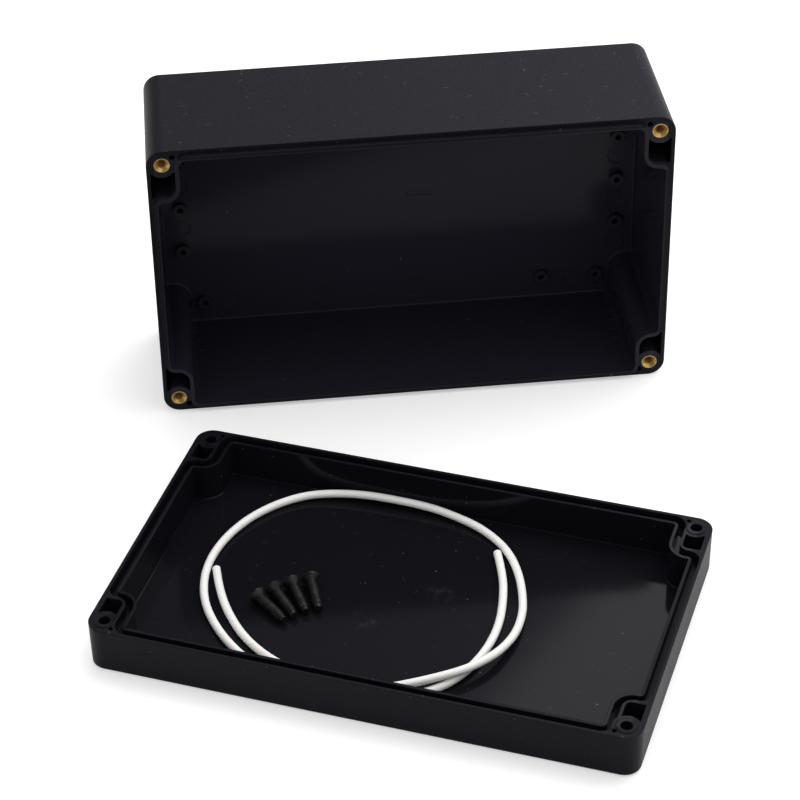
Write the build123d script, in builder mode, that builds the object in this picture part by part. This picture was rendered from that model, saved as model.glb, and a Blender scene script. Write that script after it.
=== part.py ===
from build123d import *
from math import atan2, cos, degrees, hypot, pi, radians, sin, tan
import os

# Plastic project box, opened: the base on its long side, the lid on its outer face in front of it

# Overall sizes of the closed box halves, mm
box_length = 200.0
box_width = 120.0
base_depth = 57.0
lid_depth = 18.0
corner_radius = 6.5
edge_radius = 1.0
end_draft = 1.2
lid_draft = 0.3

# Where the lid lies, seen from the base
lid_x = -18.5
lid_y = -159.7
lid_yaw = -23.5

# The seal line: wall inset, corner columns and corner radii at the groove's centre line
seal_inset = 2.55
column_inset_x = 11.35
column_inset_y = 20.55
column_corner = 5.35
long_wall_corner = 3.55
short_wall_corner = 3.0

# Tongue on the base
tongue_outer_inset = 1.9
tongue_inner_inset = 3.4
tongue_height = 2.2

# Cavity of the base
base_floor = 3.0
floor_inset = 4.3
column_flare = 0.9
floor_fillet = 0.8

# Corner features shared by both halves, measured from the end and long walls' outer faces
screw_inset = 6.0
mount_inset_x = 6.0
mount_inset_y = 16.0
mount_hole = 4.5

# Corner features of the base
boss_radius = 5.4
pocket_wall = 1.5
pocket_inner_inset_x = 11.1
pocket_inner_inset_y = 20.4
pocket_outer_inset_y = 9.4
pocket_corner = 4.2
pin_inset_x = 10.0
pin_inset_y = 3.0
pin_hole = 2.3
pin_depth = 6.0
pilot_hole = 3.3
pilot_depth = 16.0

# Brass inserts
insert_diameter = 6.0
insert_length = 8.0
insert_bevel = 1.1
knurl_relief = 0.35
knurl_relief_width = 1.4

# Bosses on the floor of the base
stud_diameter = 5.8
stud_height = 2.7
stud_hole = 2.5
stud_hole_depth = 4.0
end_stud_inset = 12.0
end_stud_pitch = 20.0
corner_stud_inset_x = 19.5
corner_stud_inset_y = 14.5
lone_stud_x = 58.0
lone_stud_inset_y = 15.0

# Shallow ejector and gate marks on the floor of the base
mark_depth = 0.2
ejector_diameter = 7.0
wide_ejector_diameter = 9.0
ejector_end_inset = 12.0
ejector_end_offsets = [10.0, -10.0, -30.0]
ejector_row_inset = 13.5
ejector_row_offsets = [-70.0, -32.0, 44.5, 71.0]
wide_ejector_x = 6.0
gate_x = 8.0
gate_y = -1.0
gate_length = 10.0
gate_width = 2.0

# Short ribs on the long walls beside the columns
rib_inset = 16.0
rib_length = 2.6
rib_width = 0.8
rib_proud = 0.5
rib_depths = [21.8, 27.6, 33.8, 40.4, 47.0]

# Lid
lid_floor = 2.5
groove_outer_inset = 1.2
groove_inner_inset = 3.9
groove_depth = 4.5
lip_inset = 5.1
lip_drop = 0.5
lid_fillet = 0.6
screw_clearance = 4.3
ring_diameter = 7.4
ring_height = 0.25
counterbore = 7.6
counterbore_depth = 8.5
seat_angle = 45.0
lid_boss_radius = 5.1
lid_pocket_outer_inset_x = 2.0
lid_pocket_inner_inset_x = 8.8
lid_pocket_inner_inset_y = 17.8
lid_pocket_outer_inset_y = 9.6
lid_pocket_corner = 2.0
lid_pocket_floor = 2.5
lid_pin_inset_x = 9.5
lid_pin_inset_y = 2.7
lid_pin_hole = 1.7

# Cover screws
head_diameter = 6.8
head_dome = 0.9
head_land = 0.4
thread_diameter = 3.95
shank_diameter = 3.5
screw_length = 16.5
tip_diameter = 2.9
tip_length = 1.6
tip_bevel = 0.4
recess_length = 3.4
recess_width = 0.8
recess_depth = 1.7
screw_gap = 0.05

# Head and tip of each screw on the lid's floor, in the lid's own frame
screw_lines = [
    ((-53.1, -12.4), (-39.1, -21.3)),
    ((-48.6, -6.8), (-36.4, -18.0)),
    ((-43.3, -1.8), (-33.1, -14.8)),
    ((-37.3, 2.4), (-29.3, -12.1)),
]

# Seal cord: points in the lid's own frame with the lift above the resting height
cord_diameter = 3.0
cord_gap = 0.1
arc_share = 0.45
cord_points = [
    (-73.3, -1.4, 0.0),
    (-67.4, -12.9, 0.0),
    (-57.3, -26.8, 0.0),
    (-47.5, -36.1, 0.0),
    (-36.0, -43.0, 0.0),
    (-22.5, -46.8, 0.0),
    (-8.5, -47.6, 0.0),
    (4.5, -45.2, 0.0),
    (15.6, -40.3, 0.6),
    (21.2, -36.4, 3.2),
    (27.0, -32.0, 6.1),
    (34.9, -22.2, 6.1),
    (39.6, -14.6, 3.0),
    (42.6, -3.0, 0.3),
    (41.4, 11.8, 0.0),
    (35.9, 25.6, 0.0),
    (28.6, 35.6, 0.0),
    (17.4, 45.6, 0.0),
    (5.2, 50.7, 0.4),
    (-7.0, 52.9, 1.2),
    (-20.0, 53.3, 1.3),
    (-33.5, 52.9, 1.2),
    (-46.0, 51.0, 0.5),
    (-56.8, 47.0, 0.0),
    (-66.5, 37.8, 0.0),
    (-73.6, 25.9, 0.0),
    (-77.6, 10.9, 0.0),
    (-76.9, -4.4, 0.0),
    (-71.4, -19.2, 0.0),
    (-62.1, -31.3, 0.0),
    (-51.4, -40.8, 0.0),
    (-39.0, -47.8, 0.0),
    (-25.5, -51.9, 0.0),
    (-11.5, -52.9, 0.0),
    (2.0, -50.9, 0.0),
    (13.0, -46.4, 0.0),
    (22.3, -40.4, 0.0),
    (29.6, -29.8, 0.0),
    (34.4, -16.6, 0.0),
    (35.9, -2.4, 0.0),
    (33.4, 12.0, 0.0),
    (28.8, 24.1, 0.0),
    (23.4, 35.0, 0.0),
]

# Planes: the base's rim faces the viewer, the lid's rim faces up
rim = Plane(origin=(0, -base_depth / 2, box_width / 2), x_dir=(1, 0, 0), z_dir=(0, -1, 0))
yaw_dir = (cos(radians(lid_yaw)), sin(radians(lid_yaw)), 0)
lid_table = Plane(origin=(lid_x, lid_y, 0), x_dir=yaw_dir, z_dir=(0, 0, 1))
lid_rim = lid_table.offset(lid_depth)
lid_back = Plane(origin=(lid_x, lid_y, 0), x_dir=yaw_dir, z_dir=(0, 0, -1))

# Half sizes, and the places of the features that are measured from the walls
half_x = box_length / 2
half_y = box_width / 2
screw_x = half_x - screw_inset
screw_y = half_y - screw_inset
cavity_depth = base_depth - base_floor
wall_slope = (floor_inset - tongue_inner_inset) / cavity_depth
stud_points = [
    (side * (half_x - end_stud_inset), row * end_stud_pitch) for side in (-1, 1) for row in (-1, 0, 1)
]
stud_points += [
    (side * (half_x - corner_stud_inset_x), row * (half_y - corner_stud_inset_y)) for side in (-1, 1) for row in (-1, 1)
]
stud_points += [(side * lone_stud_x, -side * (half_y - lone_stud_inset_y)) for side in (-1, 1)]
ejector_row = half_y - ejector_row_inset
ejector_points = [
    (side * (half_x - ejector_end_inset), side * offset) for side in (-1, 1) for offset in ejector_end_offsets
]
ejector_points += [(side * offset, -side * ejector_row) for side in (-1, 1) for offset in ejector_row_offsets]


def seal_outline(inset, flare=0.0):
    """Draw the seal's path, a rectangle less the four corner columns, at an inset from the outer face."""
    shift = inset - seal_inset
    column_x = column_inset_x + shift + flare
    column_y = column_inset_y + shift + flare
    Rectangle(box_length - 2 * inset, box_width - 2 * inset)
    with GridLocations(box_length, box_width, 2, 2):
        Rectangle(2 * column_x, 2 * column_y, mode=Mode.SUBTRACT)
    long_wall = vertices().group_by(Axis.Y)
    fillet(long_wall[0] + long_wall[-1], long_wall_corner - shift)
    short_wall = vertices().group_by(Axis.X)
    fillet(short_wall[0] + short_wall[-1], short_wall_corner - shift)
    fillet(vertices().sort_by(SortBy.DISTANCE)[:4], column_corner + shift)


def seal_ring(outer_inset, inner_inset):
    """Draw the band between two seal outlines."""
    seal_outline(outer_inset)
    with BuildSketch(mode=Mode.PRIVATE) as inner:
        seal_outline(inner_inset)
    add(inner.sketch, mode=Mode.SUBTRACT)


def corner_holes(inset_x, inset_y, diameter):
    """Draw one circle in each corner, at an inset from the outer faces."""
    with GridLocations(box_length - 2 * inset_x, box_width - 2 * inset_y, 2, 2):
        Circle(diameter / 2)


def corner_pockets(inset_x, inset_y, corner, boss):
    """Draw the open pocket beside each screw boss; each inset is a pair, its inner and its outer side."""
    size_x = inset_x[0] - inset_x[1]
    size_y = inset_y[0] - inset_y[1]
    middle_x = half_x - (inset_x[0] + inset_x[1]) / 2
    middle_y = half_y - (inset_y[0] + inset_y[1]) / 2
    with GridLocations(2 * middle_x, 2 * middle_y, 2, 2):
        Rectangle(size_x, size_y)
    fillet(vertices().filter_by(lambda v: abs(v.X) < middle_x and abs(v.Y) < middle_y), corner)
    with GridLocations(2 * screw_x, 2 * screw_y, 2, 2):
        Circle(boss, mode=Mode.SUBTRACT)


# Base: its end walls narrow to the back
with BuildPart() as base:
    with BuildSketch(Plane.XY):
        Polygon(
            (-half_x, -base_depth / 2),
            (half_x, -base_depth / 2),
            (half_x - end_draft, base_depth / 2),
            (end_draft - half_x, base_depth / 2),
            align=None,
        )
    extrude(amount=box_width)
    corner_edges = base.edges().filter_by(lambda e: abs(e.tangent_at(0.5).Y) > abs(e.tangent_at(0.5).X))
    fillet(corner_edges.filter_by(lambda e: abs(e.tangent_at(0.5).Y) > abs(e.tangent_at(0.5).Z)), corner_radius)
    fillet(base.faces().sort_by(Axis.Y)[-1].edges(), edge_radius)
    # Drafted cavity with the columns left standing in its corners
    with BuildSketch(rim):
        seal_outline(tongue_inner_inset)
    with BuildSketch(rim.offset(-cavity_depth)):
        seal_outline(floor_inset, column_flare)
    loft(ruled=True, mode=Mode.SUBTRACT)
    floor_face = base.faces().filter_by(Axis.Y).sort_by(Axis.Y)[-2]
    fillet(floor_face.edges(), floor_fillet)
    # Tongue along the seal line
    with BuildSketch(rim):
        seal_ring(tongue_outer_inset, tongue_inner_inset)
    extrude(amount=tongue_height)
    # Pockets beside the bosses, with the wall-mounting holes through their floors
    with BuildSketch(rim):
        corner_pockets(
            (pocket_inner_inset_x, pocket_wall),
            (pocket_inner_inset_y, pocket_outer_inset_y),
            pocket_corner,
            boss_radius,
        )
    extrude(amount=-cavity_depth, mode=Mode.SUBTRACT)
    with BuildSketch(rim):
        corner_holes(mount_inset_x, mount_inset_y, mount_hole)
    extrude(amount=-base_depth, mode=Mode.SUBTRACT)
    # Seats for the inserts with pilot holes behind them, and the locating holes
    with BuildSketch(rim):
        corner_holes(screw_inset, screw_inset, insert_diameter)
    extrude(amount=-insert_length, mode=Mode.SUBTRACT)
    with BuildSketch(rim):
        corner_holes(screw_inset, screw_inset, pilot_hole)
    extrude(amount=-pilot_depth, mode=Mode.SUBTRACT)
    with BuildSketch(rim):
        corner_holes(pin_inset_x, pin_inset_y, pin_hole)
    extrude(amount=-pin_depth, mode=Mode.SUBTRACT)
    # Bosses on the floor
    with BuildSketch(rim.offset(-cavity_depth)):
        with Locations(stud_points):
            Circle(stud_diameter / 2)
    extrude(amount=stud_height)
    with BuildSketch(rim.offset(-cavity_depth + stud_height)):
        with Locations(stud_points):
            Circle(stud_hole / 2)
    extrude(amount=-stud_hole_depth, mode=Mode.SUBTRACT)
    # Shallow marks of the mould
    with BuildSketch(rim.offset(-cavity_depth)):
        with Locations(ejector_points):
            Circle(ejector_diameter / 2)
        with Locations((wide_ejector_x, -ejector_row), (-wide_ejector_x, ejector_row)):
            Circle(wide_ejector_diameter / 2)
        with Locations((gate_x, gate_y)):
            SlotOverall(gate_length, gate_width)
    extrude(amount=-mark_depth, mode=Mode.SUBTRACT)
    # Ribs on the long walls, proud of the drafted wall by the same amount
    for depth in rib_depths:
        wall_y = half_y - tongue_inner_inset - wall_slope * depth
        with BuildSketch(rim.offset(-depth)):
            with GridLocations(2 * (half_x - rib_inset), 2 * wall_y, 2, 2):
                Rectangle(rib_length, 2 * rib_proud)
        extrude(amount=rib_width / 2, both=True)
base.part.label = "base"

# Brass inserts, flush with the rim
inserts = []
insert_points = [(-screw_x, screw_y), (screw_x, screw_y), (-screw_x, -screw_y), (screw_x, -screw_y)]
for number, point in enumerate(insert_points, start=1):
    axis_plane = Plane(origin=rim.from_local_coords((point[0], point[1], 0)), x_dir=rim.x_dir, z_dir=rim.z_dir)
    with BuildPart() as insert:
        with BuildSketch(axis_plane):
            Circle(insert_diameter / 2)
            Circle(pilot_hole / 2, mode=Mode.SUBTRACT)
        extrude(amount=-insert_length)
        mouth = insert.edges().filter_by(GeomType.CIRCLE).group_by(Axis.Y)[0].sort_by(SortBy.RADIUS)[0]
        chamfer(mouth, insert_bevel)
        # Relief groove between the two knurled bands
        middle = axis_plane.offset(-(insert_length - knurl_relief_width) / 2)
        with BuildSketch(middle):
            Circle(insert_diameter / 2)
            Circle(insert_diameter / 2 - knurl_relief, mode=Mode.SUBTRACT)
        extrude(amount=-knurl_relief_width, mode=Mode.SUBTRACT)
    insert.part.label = f"insert_{number}"
    inserts.append(insert.part)

# Lid
lid_cavity = lid_depth - lid_floor
seat_depth = (counterbore - screw_clearance) / 2 / tan(radians(seat_angle))
with BuildPart() as lid:
    with BuildSketch(lid_rim):
        RectangleRounded(box_length, box_width, corner_radius)
    extrude(amount=-lid_depth, taper=degrees(atan2(lid_draft, lid_depth)))
    fillet(lid.faces().sort_by(Axis.Z)[0].edges(), edge_radius)
    # Cavity, and the groove along the seal line with its lower inner lip
    with BuildSketch(lid_rim):
        seal_outline(lip_inset)
    extrude(amount=-lid_cavity, mode=Mode.SUBTRACT)
    floor_face = lid.faces().filter_by(Axis.Z).sort_by(Axis.Z)[1]
    fillet(floor_face.edges(), lid_fillet)
    with BuildSketch(lid_rim):
        seal_outline(groove_inner_inset)
    extrude(amount=-lip_drop, mode=Mode.SUBTRACT)
    with BuildSketch(lid_rim):
        seal_ring(groove_outer_inset, groove_inner_inset)
    extrude(amount=-groove_depth, mode=Mode.SUBTRACT)
    # Pockets beside the bosses
    with BuildSketch(lid_rim):
        corner_pockets(
            (lid_pocket_inner_inset_x, lid_pocket_outer_inset_x),
            (lid_pocket_inner_inset_y, lid_pocket_outer_inset_y),
            lid_pocket_corner,
            lid_boss_radius,
        )
    extrude(amount=-(lid_depth - lid_pocket_floor), mode=Mode.SUBTRACT)
    # Raised ring round each screw hole, the hole, its counterbore and the countersunk seat
    with BuildSketch(lid_rim):
        corner_holes(screw_inset, screw_inset, ring_diameter)
    extrude(amount=ring_height)
    with BuildSketch(lid_rim.offset(ring_height)):
        corner_holes(screw_inset, screw_inset, screw_clearance)
    extrude(amount=-(lid_depth + ring_height), mode=Mode.SUBTRACT)
    with BuildSketch(lid_back):
        corner_holes(screw_inset, screw_inset, counterbore)
    extrude(amount=-counterbore_depth, mode=Mode.SUBTRACT)
    with BuildSketch(lid_back.offset(-counterbore_depth)):
        corner_holes(screw_inset, screw_inset, counterbore)
    extrude(amount=-seat_depth, taper=seat_angle, mode=Mode.SUBTRACT)
    with BuildSketch(lid_rim):
        corner_holes(lid_pin_inset_x, lid_pin_inset_y, lid_pin_hole)
    extrude(amount=-pin_depth, mode=Mode.SUBTRACT)
lid.part.label = "lid"

# Cover screws: each lies on the floor of the lid on its head's rim and the end of its thread
cone_length = (head_diameter - shank_diameter) / 2
shank_end = screw_length - tip_length - tip_bevel
contact = head_dome + head_land
lean = atan2((head_diameter - thread_diameter) / 2, shank_end - contact)
head_height = head_diameter / 2 * cos(lean) + contact * sin(lean) + screw_gap
screws = []
for number, (head, tip) in enumerate(screw_lines, start=1):
    run_x = tip[0] - head[0]
    run_y = tip[1] - head[1]
    run = hypot(run_x, run_y)
    start = lid_table.from_local_coords((head[0], head[1], lid_floor + head_height))
    ahead = lid_table.from_local_coords(
        (head[0] + run_x / run * cos(lean), head[1] + run_y / run * cos(lean), lid_floor + head_height - sin(lean))
    )
    axis_plane = Plane(origin=start, z_dir=ahead - start)
    profile_plane = Plane(origin=start, x_dir=axis_plane.x_dir, z_dir=axis_plane.y_dir)
    with BuildPart() as screw:
        with BuildSketch(profile_plane):
            with BuildLine():
                dome = ThreePointArc(
                    (0, 0), (head_diameter / 4 * 1.06, -head_dome * 0.27), (head_diameter / 2, -head_dome)
                )
                Polyline(
                    dome @ 1,
                    (head_diameter / 2, -contact),
                    (shank_diameter / 2, -contact - cone_length),
                    (shank_diameter / 2, -shank_end),
                    (tip_diameter / 2, -shank_end - tip_bevel),
                    (tip_diameter / 2, -screw_length),
                    (0, -screw_length),
                    (0, 0),
                )
            make_face()
        revolve(axis=Axis(start, start - ahead))
        # Cross recess in the head
        with BuildSketch(axis_plane):
            Rectangle(recess_length, recess_width)
            Rectangle(recess_width, recess_length)
        extrude(amount=recess_depth, mode=Mode.SUBTRACT)
    screw.part.label = f"screw_{number}"
    screws.append(screw.part)

# Seal cord: straight runs joined by tangent arcs
cord_height = lid_floor + cord_diameter / 2 + cord_gap
cord_path = [lid_table.from_local_coords(Vector(x, y, cord_height + lift)) for x, y, lift in cord_points]
cord_radii = []
for before, corner, after in zip(cord_path, cord_path[1:], cord_path[2:]):
    shorter = min((corner - before).length, (after - corner).length)
    turn = (corner - before).get_angle(after - corner)
    cord_radii.append(arc_share * shorter / tan(radians(turn) / 2))
with BuildPart() as seal_cord:
    with BuildLine() as cord_line:
        FilletPolyline(*cord_path, radius=cord_radii)
    with BuildSketch(Plane(origin=cord_path[0], z_dir=cord_path[1] - cord_path[0])):
        Circle(cord_diameter / 2)
    sweep(path=cord_line.wires()[0])
seal_cord.part.label = "seal_cord"
cord_length = cord_line.wires()[0].length
print("cord radii", [round(radius, 1) for radius in cord_radii])
print("cord length", round(cord_length, 1), "volume share", seal_cord.part.volume / (cord_length * pi * cord_diameter**2 / 4))

os.makedirs("parts", exist_ok=True)
export_step(base.part, "parts/base.step")
export_step(lid.part, "parts/lid.step")
export_step(seal_cord.part, "parts/seal_cord.step")
for part in inserts + screws:
    export_step(part, f"parts/{part.label}.step")
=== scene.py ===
from math import atan2, cos, pi, radians, sin

import bpy
from mathutils import Matrix, Vector


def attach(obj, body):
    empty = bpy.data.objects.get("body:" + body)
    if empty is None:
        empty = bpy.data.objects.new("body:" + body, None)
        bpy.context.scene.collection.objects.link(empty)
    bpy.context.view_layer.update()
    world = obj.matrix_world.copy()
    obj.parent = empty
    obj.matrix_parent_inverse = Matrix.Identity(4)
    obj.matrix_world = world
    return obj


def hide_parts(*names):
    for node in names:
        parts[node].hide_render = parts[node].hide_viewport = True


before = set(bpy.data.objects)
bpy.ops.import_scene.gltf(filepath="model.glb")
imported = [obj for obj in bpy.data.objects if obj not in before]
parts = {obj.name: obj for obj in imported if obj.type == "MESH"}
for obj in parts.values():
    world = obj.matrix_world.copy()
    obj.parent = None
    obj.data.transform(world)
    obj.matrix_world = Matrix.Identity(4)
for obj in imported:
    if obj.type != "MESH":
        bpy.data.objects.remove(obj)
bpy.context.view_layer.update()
MM = 0.001

# Camera at the photograph's angle
look_at = Vector((-6.9, -33.2, 0.0)) * MM
camera_distance = 1119.4 * MM
camera_pitch = radians(37.03)
camera_yaw = radians(-5.71)
camera_roll = radians(-0.96)
focal_pixels = 2817.4
image_pixels = 800
sensor_width = 36.0
camera_data = bpy.data.cameras.new("camera")
camera_data.sensor_width = sensor_width
camera_data.lens = focal_pixels * sensor_width / image_pixels
camera_data.clip_start = 0.05
camera_data.clip_end = 20.0
camera = bpy.data.objects.new("camera", camera_data)
bpy.context.collection.objects.link(camera)
turn = Matrix.Rotation(camera_yaw, 4, "Z") @ Matrix.Rotation(pi / 2 - camera_pitch, 4, "X")
turn = turn @ Matrix.Rotation(camera_roll, 4, "Z")
camera_place = look_at + turn.to_3x3() @ Vector((0, 0, camera_distance))
camera.matrix_world = Matrix.Translation(camera_place) @ turn
bpy.context.scene.camera = camera

# The lid's own frame: its middle on the floor, turned about the vertical
lid_yaw = radians(-23.5)
lid_middle = Vector((-18.5, -159.7, 0.0)) * MM
lid_place = Matrix.Translation(lid_middle) @ Matrix.Rotation(lid_yaw, 4, "Z")
lid_floor = 2.5


def on_lid(x, y, z):
    """A point of the lid's own frame, given in mm."""
    return lid_place @ (Vector((x, y, z)) * MM)


# Seal cord: x, y and the lift above its rest on the lid's floor. The upper strand lies on the lower one.
# Blender adds a point's radius to the curve's bounding box, so the radius is small and the bevel makes up for it.
cord_diameter = 3.0
cord_gap = 0.1
cord_rest = lid_floor + cord_diameter / 2 + cord_gap
point_radius = 0.001
cord_points = [
    (-72.4, -1.2, 0.0), (-67.0, -12.9, 0.0), (-57.0, -26.8, 0.0), (-47.2, -36.1, 0.0), (-36.0, -42.6, 0.0),
    (-22.5, -47.3, 0.0), (-10.5, -49.9, 0.9), (-1.5, -50.1, 2.6), (6.0, -48.6, 3.2), (13.2, -44.7, 3.3),
    (22.7, -38.0, 3.2), (31.0, -31.4, 3.2), (36.6, -24.4, 3.1), (40.4, -16.3, 2.2), (42.5, -5.6, 0.9),
    (41.9, 5.4, 0.1), (39.8, 14.0, 0.0), (35.4, 25.6, 0.0), (29.2, 36.0, 0.0), (22.1, 43.1, 0.0),
    (12.8, 48.6, 0.3), (3.0, 51.4, 0.8), (-7.0, 53.2, 1.3), (-20.0, 53.5, 1.6), (-33.5, 53.2, 1.5),
    (-46.0, 51.2, 0.8), (-56.0, 47.2, 0.2), (-65.5, 38.0, 0.0), (-72.5, 25.9, 0.0), (-76.4, 10.9, 0.0),
    (-76.0, -4.4, 0.0), (-70.8, -19.2, 0.0), (-61.8, -31.3, 0.0), (-51.2, -40.8, 0.0), (-39.0, -48.2, 0.0),
    (-25.5, -52.3, 0.0), (-11.5, -53.4, 0.0), (2.0, -52.2, 0.0), (13.6, -47.6, 0.0), (24.0, -40.2, 0.0),
    (30.6, -29.8, 0.0), (34.6, -16.6, 0.0), (35.4, -2.4, 0.0), (33.0, 12.0, 0.0), (29.2, 25.0, 0.0),
    (23.9, 36.2, 0.0),
]
cord_curve = bpy.data.curves.new("seal_cord_curve", "CURVE")
cord_curve.dimensions = "3D"
cord_spline = cord_curve.splines.new("NURBS")
cord_spline.points.add(len(cord_points) - 1)
for point, (x, y, lift) in zip(cord_spline.points, cord_points):
    point.co = (*on_lid(x, y, cord_rest + lift), 1.0)
    point.radius = point_radius
cord_spline.order_u = 3
cord_spline.use_endpoint_u = True
cord_spline.resolution_u = 10
cord_curve.bevel_depth = cord_diameter / 2 * MM / point_radius
cord_curve.bevel_resolution = 6
cord_curve.use_fill_caps = True
cord = bpy.data.objects.new("cord_piece", cord_curve)
bpy.context.collection.objects.link(cord)
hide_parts("seal_cord")
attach(cord, "root")


# Cover screws' threads: a helical ridge round each plain shank
head_diameter = 6.8
head_dome = 0.9
head_land = 0.4
thread_diameter = 3.95
shank_diameter = 3.5
shank_end = 14.5
screw_gap = 0.05
thread_pitch = 0.7
thread_sink = 0.05
thread_crest = 0.09
thread_margin = 0.5
thread_fill = 0.98
thread_steps = 24
screw_lines = [
    ((-53.1, -12.4), (-39.1, -21.3)),
    ((-48.6, -6.8), (-36.4, -18.0)),
    ((-43.3, -1.8), (-33.1, -14.8)),
    ((-37.3, 2.4), (-29.3, -12.1)),
]
contact = head_dome + head_land
cone_length = (head_diameter - shank_diameter) / 2
screw_lean = atan2((head_diameter - thread_diameter) / 2, shank_end - contact)
head_height = head_diameter / 2 * cos(screw_lean) + contact * sin(screw_lean) + screw_gap


def screw_place(head, tip):
    """The screw's own frame: origin at the top of its head, Z towards its tip."""
    run = Vector((tip[0] - head[0], tip[1] - head[1], 0)).normalized()
    axis = run * cos(screw_lean) - Vector((0, 0, sin(screw_lean)))
    turned = axis.to_track_quat("Z", "Y").to_matrix().to_4x4()
    start = Matrix.Translation(Vector((*head, lid_floor + head_height)) * MM)
    return lid_place @ start @ turned


def thread_mesh(name):
    """A ridge with a narrow flat crest, which fades into the shank at both ends."""
    first = contact + cone_length - thread_margin
    turns = (shank_end - thread_margin - first) / thread_pitch
    root = shank_diameter / 2 - thread_sink
    crest = thread_diameter / 2
    half = thread_pitch / 2 * thread_fill
    count = int(turns * thread_steps)
    verts = []
    for index in range(count + 1):
        angle = 2 * pi * index / thread_steps
        along = first + thread_pitch * index / thread_steps
        fade = min(1.0, index / thread_steps, (count - index) / thread_steps)
        top = root + (crest - root) * fade
        for radius, shift in ((root, -half), (top, -thread_crest), (top, thread_crest), (root, half)):
            verts.append((radius * cos(angle) * MM, radius * sin(angle) * MM, (along + shift) * MM))
    faces = []
    for index in range(count):
        for corner in range(4 * index, 4 * index + 3):
            faces.append((corner, corner + 1, corner + 5, corner + 4))
        faces.append((4 * index + 3, 4 * index, 4 * index + 4, 4 * index + 7))
    faces.append((3, 2, 1, 0))
    faces.append((4 * count, 4 * count + 1, 4 * count + 2, 4 * count + 3))
    mesh = bpy.data.meshes.new(name)
    mesh.from_pydata(verts, [], faces)
    mesh.update()
    return mesh


threads = []
for number, (head, tip) in enumerate(screw_lines, start=1):
    thread = bpy.data.objects.new(f"screw_thread_{number}", thread_mesh(f"screw_thread_{number}"))
    thread.matrix_world = screw_place(head, tip)
    bpy.context.collection.objects.link(thread)
    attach(thread, "root")
    threads.append(thread)


# Shader helpers
def new_material(name):
    material = bpy.data.materials.new(name)
    material.use_nodes = True
    tree = material.node_tree
    tree.nodes.clear()
    output = tree.nodes.new("ShaderNodeOutputMaterial")
    shader = tree.nodes.new("ShaderNodeBsdfPrincipled")
    tree.links.new(shader.outputs[0], output.inputs[0])
    return material, tree, shader


def put(tree, socket, value):
    """Link a socket, or set a plain value."""
    if isinstance(value, bpy.types.NodeSocket):
        tree.links.new(value, socket)
    else:
        socket.default_value = value


def calc(tree, operation, *values):
    made = tree.nodes.new("ShaderNodeMath")
    made.operation = operation
    for socket, value in zip(made.inputs, values):
        put(tree, socket, value)
    return made.outputs[0]


def vector_calc(tree, operation, *values):
    made = tree.nodes.new("ShaderNodeVectorMath")
    made.operation = operation
    for socket, value in zip(made.inputs, values):
        put(tree, socket, value)
    return made.outputs["Value" if operation == "DISTANCE" else "Vector"]


def blend(tree, share, a, b, kind="RGBA"):
    """Mix two colours, or two vectors."""
    made = tree.nodes.new("ShaderNodeMix")
    made.data_type = kind
    for socket in made.inputs:
        if socket.enabled:
            put(tree, socket, {"Factor": share, "A": a, "B": b}[socket.name])
    return next(socket for socket in made.outputs if socket.enabled)


def mix_value(tree, share, a, b):
    rest = calc(tree, "SUBTRACT", 1.0, share)
    return calc(tree, "ADD", calc(tree, "MULTIPLY", rest, a), calc(tree, "MULTIPLY", share, b))


def step(tree, value, low, high):
    """0 at low, 1 at high, smooth between."""
    made = tree.nodes.new("ShaderNodeMapRange")
    made.interpolation_type = "SMOOTHSTEP"
    put(tree, made.inputs["Value"], value)
    made.inputs["From Min"].default_value = low
    made.inputs["From Max"].default_value = high
    return made.outputs[0]


def object_space(tree):
    return tree.nodes.new("ShaderNodeTexCoord").outputs["Object"]


def in_frame(tree, coords, place):
    """The coordinates in the frame of a matrix that only moves and turns."""
    made = tree.nodes.new("ShaderNodeMapping")
    made.vector_type = "POINT"
    inverse = place.inverted()
    made.inputs["Location"].default_value = inverse.to_translation()
    made.inputs["Rotation"].default_value = inverse.to_euler()
    put(tree, made.inputs["Vector"], coords)
    return made.outputs[0]


def axes(tree, coords):
    made = tree.nodes.new("ShaderNodeSeparateXYZ")
    put(tree, made.inputs[0], coords)
    return made.outputs


def noise(tree, coords, scale, detail=2.0, roughness=0.5):
    made = tree.nodes.new("ShaderNodeTexNoise")
    put(tree, made.inputs["Vector"], coords)
    made.inputs["Scale"].default_value = scale
    made.inputs["Detail"].default_value = detail
    made.inputs["Roughness"].default_value = roughness
    return made.outputs["Fac"]


def cells(tree, coords, scale, flat=False):
    """Random cells, on the X and Y coordinates alone where flat."""
    made = tree.nodes.new("ShaderNodeTexVoronoi")
    made.voronoi_dimensions = "2D" if flat else "3D"
    put(tree, made.inputs["Vector"], coords)
    made.inputs["Scale"].default_value = scale
    return made.outputs


def specks(tree, coords, per_metre, size, share):
    """Dust: round specks of a size in metres, in a share of the cells."""
    cell = cells(tree, coords, per_metre)
    pick = axes(tree, cell["Color"])
    near = calc(tree, "LESS_THAN", cell["Distance"], calc(tree, "MULTIPLY", pick[1], size * per_metre))
    return calc(tree, "MULTIPLY", near, calc(tree, "LESS_THAN", pick[0], share))


level_face = (0.7, 0.9)


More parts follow.
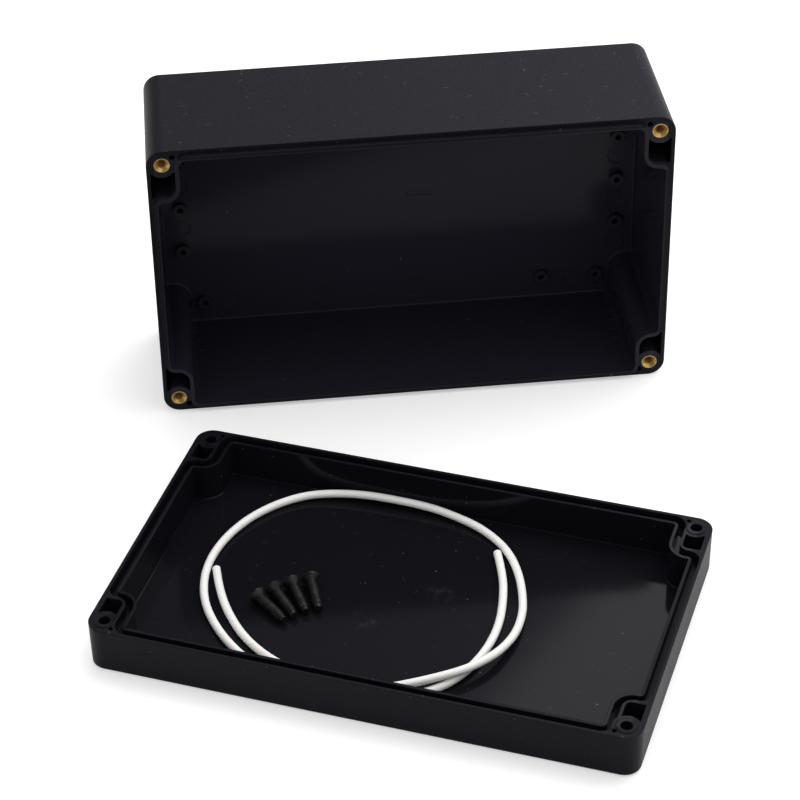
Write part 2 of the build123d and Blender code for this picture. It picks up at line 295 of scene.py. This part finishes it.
def scratches(tree, coords, per_metre, length, width, share):
    """Short straight marks on level faces, each at its own angle; length and width are half sizes."""
    cell = cells(tree, coords, per_metre, flat=True)
    pick = axes(tree, cell["Color"])
    away = axes(tree, vector_calc(tree, "SUBTRACT", coords, cell["Position"]))
    angle = calc(tree, "MULTIPLY", pick[1], 2 * pi)
    cosine = calc(tree, "COSINE", angle)
    sine = calc(tree, "SINE", angle)
    along = calc(tree, "ADD", calc(tree, "MULTIPLY", away[0], cosine), calc(tree, "MULTIPLY", away[1], sine))
    across = calc(tree, "SUBTRACT", calc(tree, "MULTIPLY", away[1], cosine), calc(tree, "MULTIPLY", away[0], sine))
    reach = calc(tree, "MULTIPLY", pick[2], length)
    mark = calc(tree, "LESS_THAN", calc(tree, "ABSOLUTE", along), reach)
    mark = calc(tree, "MULTIPLY", mark, calc(tree, "LESS_THAN", calc(tree, "ABSOLUTE", across), width))
    mark = calc(tree, "MULTIPLY", mark, calc(tree, "LESS_THAN", pick[0], share))
    up = axes(tree, tree.nodes.new("ShaderNodeNewGeometry").outputs["Normal"])[2]
    return calc(tree, "MULTIPLY", mark, step(tree, calc(tree, "ABSOLUTE", up), *level_face))


def bump(tree, height, distance, strength, normal=None):
    made = tree.nodes.new("ShaderNodeBump")
    put(tree, made.inputs["Height"], height)
    made.inputs["Distance"].default_value = distance
    made.inputs["Strength"].default_value = strength
    if normal is not None:
        put(tree, made.inputs["Normal"], normal)
    return made.outputs[0]


def in_box(tree, coords, middle, half):
    """1 inside an axis-aligned box of the coordinates, 0 outside."""
    away = axes(tree, vector_calc(tree, "ABSOLUTE", vector_calc(tree, "SUBTRACT", coords, middle)))
    inside = [calc(tree, "LESS_THAN", away[index], half[index]) for index in range(3)]
    return calc(tree, "MULTIPLY", calc(tree, "MULTIPLY", inside[0], inside[1]), inside[2])


def give(obj, material):
    obj.data.materials.clear()
    obj.data.materials.append(material)


# Black ABS: matt and grained outside, polished inside the hollow. Scales are features per metre.
abs_outside = (0.0050, 0.0049, 0.0078, 1)
abs_grain = (0.0095, 0.0093, 0.0134, 1)
dust_colour = (0.20, 0.20, 0.21, 1)
cloud_scale = 35.0
grain_scale = 1400.0
grain_roughness = 0.7
grain_light = (0.40, 0.72)
grain_relief = 0.14 * MM
coarse_dust = (230.0, 0.40 * MM, 0.10)
fine_dust = (600.0, 0.22 * MM, 0.08)
dust_cover = 0.45
short_scratches = (130.0, 1.2 * MM, 0.12 * MM, 0.30)
scratch_outside = 0.36
scratch_inside = 0.10
scratch_cover = 0.8
scratch_relief = 0.03 * MM
smudge_scale = 260.0
smudge_edge = (0.45, 0.85)
smudge_cover = 0.22
matt_roughness = 0.28
matt_spread = 0.10
polish_spread = 0.04
dirt_roughness = 0.4
edge_softening = 0.42 * MM


def abs_plastic(name, place, hollow, colour_inside, reflection, polish, smudges=()):
    """The hollow is a box in the piece's own frame, its middle and its half size."""
    material, tree, shader = new_material(name)
    coords = in_frame(tree, object_space(tree), place)
    inside = in_box(tree, coords, *hollow)
    outside = calc(tree, "SUBTRACT", 1.0, inside)
    cloud = noise(tree, coords, cloud_scale, 3.0)
    grain = noise(tree, coords, grain_scale, 3.0, grain_roughness)
    colour = blend(tree, inside, abs_outside, colour_inside)
    colour = blend(tree, calc(tree, "MULTIPLY", outside, step(tree, grain, *grain_light)), colour, abs_grain)
    dust = calc(tree, "MAXIMUM", specks(tree, coords, *coarse_dust), specks(tree, coords, *fine_dust))
    marks = scratches(tree, coords, *short_scratches)
    marks = calc(tree, "MULTIPLY", marks, mix_value(tree, inside, scratch_outside, scratch_inside))
    dust = calc(tree, "MULTIPLY", dust, dust_cover)
    dirt = calc(tree, "MAXIMUM", dust, calc(tree, "MULTIPLY", marks, scratch_cover))
    for middle, radius in smudges:
        away = step(tree, vector_calc(tree, "DISTANCE", coords, middle), 0.0, radius)
        broken = step(tree, noise(tree, coords, smudge_scale, 5.0, 0.6), *smudge_edge)
        smudge = calc(tree, "MULTIPLY", calc(tree, "SUBTRACT", 1.0, away), broken)
        dirt = calc(tree, "MAXIMUM", dirt, calc(tree, "MULTIPLY", smudge, smudge_cover))
    put(tree, shader.inputs["Base Color"], blend(tree, dirt, colour, dust_colour))
    uneven = calc(tree, "MULTIPLY", calc(tree, "ADD", cloud, grain), matt_spread)
    matt = calc(tree, "ADD", matt_roughness, uneven)
    gloss = calc(tree, "ADD", polish, calc(tree, "MULTIPLY", cloud, polish_spread))
    skin = mix_value(tree, inside, matt, gloss)
    put(tree, shader.inputs["Roughness"], calc(tree, "ADD", skin, calc(tree, "MULTIPLY", dirt, dirt_roughness)))
    soft = tree.nodes.new("ShaderNodeBevel")
    soft.samples = 4
    soft.inputs["Radius"].default_value = edge_softening
    relief = bump(tree, grain, grain_relief, 1.0, soft.outputs[0])
    relief = bump(tree, calc(tree, "MULTIPLY", marks, -1.0), scratch_relief, 0.5, relief)
    put(tree, shader.inputs["Normal"], blend(tree, inside, relief, soft.outputs[0], "VECTOR"))
    shader.inputs["Specular IOR Level"].default_value = reflection
    return material


base_hollow = (Vector((0, -3.5, 60)) * MM, Vector((97, 30, 57)) * MM)
# Painted light: the base's hollow is coloured lighter than the lid's inside, to make up for the shade deep in the
# hollow.
base_inside_painted_light = (0.0172, 0.0165, 0.0250, 1)
base_reflection = 0.088
base_polish = 0.12
give(parts["base"], abs_plastic("abs_base", Matrix(), base_hollow, base_inside_painted_light, base_reflection, base_polish))

lid_hollow = (Vector((0, 0, 12)) * MM, Vector((95.2, 55.2, 10.5)) * MM)
lid_inside = (0.0062, 0.0060, 0.0086, 1)
lid_reflection = 0.076
lid_polish = 0.07
lid_smudges = (
    (Vector((-12.0, -11.0, lid_floor)) * MM, 8 * MM),
    (Vector((10.0, 10.0, lid_floor)) * MM, 7 * MM),
)
lid_plastic = abs_plastic("abs_lid", lid_place, lid_hollow, lid_inside, lid_reflection, lid_polish, lid_smudges)
give(parts["lid"], lid_plastic)

# Brass inserts: the corners of the base that they sit in, and the bore
box_middle = Vector((0, 0, 60)) * MM
insert_corner = Vector((94, 0, 54)) * MM
across_axis = Vector((1, 0, 1))
bore_radius = 1.75 * MM
bore_relief = 0.16 * MM
brass_bright = (0.64, 0.43, 0.14, 1)
brass_tarnished = (0.42, 0.26, 0.08, 1)
# Painted light in the bore: a brown for the threads catching light, and how much less metallic the bore is made so
# that it shows.
bore_painted_light_colour = (0.50, 0.25, 0.06, 1)
brass_roughness = 0.34
tarnish_scale = 700.0
tarnish_edge = (0.35, 0.75)
tarnish_roughness = 0.14
bore_painted_light_dullness = 0.7
fine_relief = 0.02 * MM


def turned_brass():
    """Turned brass, a little tarnished, with the thread's ridges in the bore, and the light that the threads catch
    painted into the bore as a less metallic brown.
    """
    material, tree, shader = new_material("turned_brass")
    coords = object_space(tree)
    tarnish = step(tree, noise(tree, coords, tarnish_scale, 4.0, 0.6), *tarnish_edge)
    away = vector_calc(tree, "ABSOLUTE", vector_calc(tree, "SUBTRACT", coords, box_middle))
    away = vector_calc(tree, "MULTIPLY", vector_calc(tree, "SUBTRACT", away, insert_corner), across_axis)
    off_axis = vector_calc(tree, "DISTANCE", away, Vector((0, 0, 0)))
    bore = calc(tree, "LESS_THAN", off_axis, bore_radius)
    ridge = calc(tree, "SINE", calc(tree, "MULTIPLY", axes(tree, coords)[1], 2 * pi / (thread_pitch * MM)))
    skin = blend(tree, tarnish, brass_bright, brass_tarnished)
    dull = calc(tree, "MULTIPLY", tarnish, tarnish_roughness)
    # The bore gets painted light: a brown colour, shown by making it less metallic.
    put(tree, shader.inputs["Base Color"], blend(tree, bore, skin, bore_painted_light_colour))
    put(tree, shader.inputs["Roughness"], calc(tree, "ADD", brass_roughness, dull))
    put(tree, shader.inputs["Metallic"], calc(tree, "SUBTRACT", 1.0, calc(tree, "MULTIPLY", bore, bore_painted_light_dullness)))
    relief = bump(tree, noise(tree, coords, 5200.0, 2.0), fine_relief, 0.3)
    relief = bump(tree, calc(tree, "MULTIPLY", ridge, bore), bore_relief, 1.0, relief)
    put(tree, shader.inputs["Normal"], relief)
    return material


steel_black = (0.014, 0.0135, 0.0135, 1)
steel_brown = (0.042, 0.035, 0.028, 1)
steel_roughness = 0.36
patch_scale = 380.0
patch_edge = (0.42, 0.68)
patch_shine = 0.06


def blackened_steel():
    """Black oxide on steel, with brown patches."""
    material, tree, shader = new_material("blackened_steel")
    coords = object_space(tree)
    worn = step(tree, noise(tree, coords, patch_scale, 4.0, 0.65), *patch_edge)
    shine = calc(tree, "MULTIPLY", worn, patch_shine)
    put(tree, shader.inputs["Base Color"], blend(tree, worn, steel_black, steel_brown))
    put(tree, shader.inputs["Roughness"], calc(tree, "SUBTRACT", steel_roughness, shine))
    put(tree, shader.inputs["Normal"], bump(tree, noise(tree, coords, 4200.0, 2.0), fine_relief, 0.3))
    shader.inputs["Metallic"].default_value = 0.6
    shader.inputs["Specular IOR Level"].default_value = 0.3
    return material


silicone_light = (0.92, 0.912, 0.888, 1)
silicone_dark = (0.86, 0.85, 0.825, 1)
silicone_dust = (0.30, 0.29, 0.27, 1)
silicone_specks = (420.0, 0.16 * MM, 0.06)
silicone_dust_cover = 0.35
silicone_roughness = 0.40
silicone_spread = 0.16


def white_silicone():
    """Soft white silicone with a faint waviness, small dust and a satin skin."""
    material, tree, shader = new_material("white_silicone")
    coords = object_space(tree)
    cloud = noise(tree, coords, 160.0, 3.0)
    dust = specks(tree, coords, *silicone_specks)
    colour = blend(tree, cloud, silicone_light, silicone_dark)
    dusty = calc(tree, "MULTIPLY", dust, silicone_dust_cover)
    put(tree, shader.inputs["Base Color"], blend(tree, dusty, colour, silicone_dust))
    uneven = calc(tree, "MULTIPLY", cloud, silicone_spread)
    put(tree, shader.inputs["Roughness"], calc(tree, "ADD", silicone_roughness, uneven))
    put(tree, shader.inputs["Normal"], bump(tree, noise(tree, coords, 1500.0, 2.0), fine_relief, 0.25))
    shader.inputs["Subsurface Weight"].default_value = 0.15
    shader.inputs["Subsurface Scale"].default_value = 0.8 * MM
    shader.inputs["Specular IOR Level"].default_value = 0.4
    return material


brass = turned_brass()
steel = blackened_steel()
for number in range(1, len(screw_lines) + 1):
    give(parts[f"insert_{number}"], brass)
    give(parts[f"screw_{number}"], steel)
for thread in threads:
    give(thread, steel)
give(cord, white_silicone())


# Pale floor that keeps the object's shadow. Only the camera and, more weakly, reflections see its own light.
floor_half = 6.0
floor_drop = 0.2 * MM
floor_lift = 0.40
floor_glow = 0.15
floor_mesh = bpy.data.meshes.new("floor")
floor_signs = ((-1, -1), (1, -1), (1, 1), (-1, 1))
floor_mesh.from_pydata([(x * floor_half, y * floor_half, 0) for x, y in floor_signs], [], [(0, 1, 2, 3)])
floor = bpy.data.objects.new("floor", floor_mesh)
floor.location.z = -floor_drop
bpy.context.collection.objects.link(floor)
floor_material, tree, shader = new_material("floor")
shader.inputs["Base Color"].default_value = (0.8, 0.8, 0.8, 1)
shader.inputs["Roughness"].default_value = 0.9
shader.inputs["Specular IOR Level"].default_value = 0.1
shader.inputs["Emission Color"].default_value = (1, 1, 1, 1)
ray = tree.nodes.new("ShaderNodeLightPath").outputs
seen = calc(tree, "MULTIPLY", calc(tree, "MAXIMUM", ray["Is Camera Ray"], ray["Is Transmission Ray"]), floor_lift)
mirrored = calc(tree, "MULTIPLY", ray["Is Glossy Ray"], floor_glow)
put(tree, shader.inputs["Emission Strength"], calc(tree, "ADD", seen, mirrored))
floor.data.materials.append(floor_material)

# Studio: even soft light, whose mirror image is brighter to the right, in front of a white background
room_even = 0.72
room_dim = 0.30
room_bright = 1.02
room_tint = (0.84, 0.87, 1.0, 1)
room_from = -0.16
room_to = 0.26
horizon = 0.12
world = bpy.data.worlds.new("world")
world.use_nodes = True
bpy.context.scene.world = world
tree = world.node_tree
background = tree.nodes["Background"]
direction = axes(tree, tree.nodes.new("ShaderNodeTexCoord").outputs["Generated"])
shown_room = mix_value(tree, step(tree, direction[0], room_from, room_to), room_dim, room_bright)
ray = tree.nodes.new("ShaderNodeLightPath").outputs
room = mix_value(tree, ray["Is Glossy Ray"], room_even, shown_room)
low = calc(tree, "LESS_THAN", direction[2], horizon)
backdrop = calc(tree, "MAXIMUM", calc(tree, "MULTIPLY", ray["Is Glossy Ray"], low), ray["Is Camera Ray"])
backdrop = calc(tree, "MAXIMUM", backdrop, ray["Is Transmission Ray"])
above = calc(tree, "MULTIPLY", ray["Is Glossy Ray"], calc(tree, "SUBTRACT", 1.0, low))
put(tree, background.inputs["Color"], blend(tree, above, (1, 1, 1, 1), room_tint))
put(tree, background.inputs["Strength"], mix_value(tree, backdrop, room, 1.0))

# Soft lamp above
lamp_data = bpy.data.lights.new("key", "AREA")
lamp_data.energy = 9.0
lamp_data.size = 1.1
lamp = bpy.data.objects.new("key", lamp_data)
lamp.location = (0.35, 0.25, 1.0)
lamp.rotation_euler = lamp.location.to_track_quat("Z", "Y").to_euler()
bpy.context.collection.objects.link(lamp)

bpy.context.scene.view_settings.view_transform = "Standard"

bpy.context.view_layer.update()
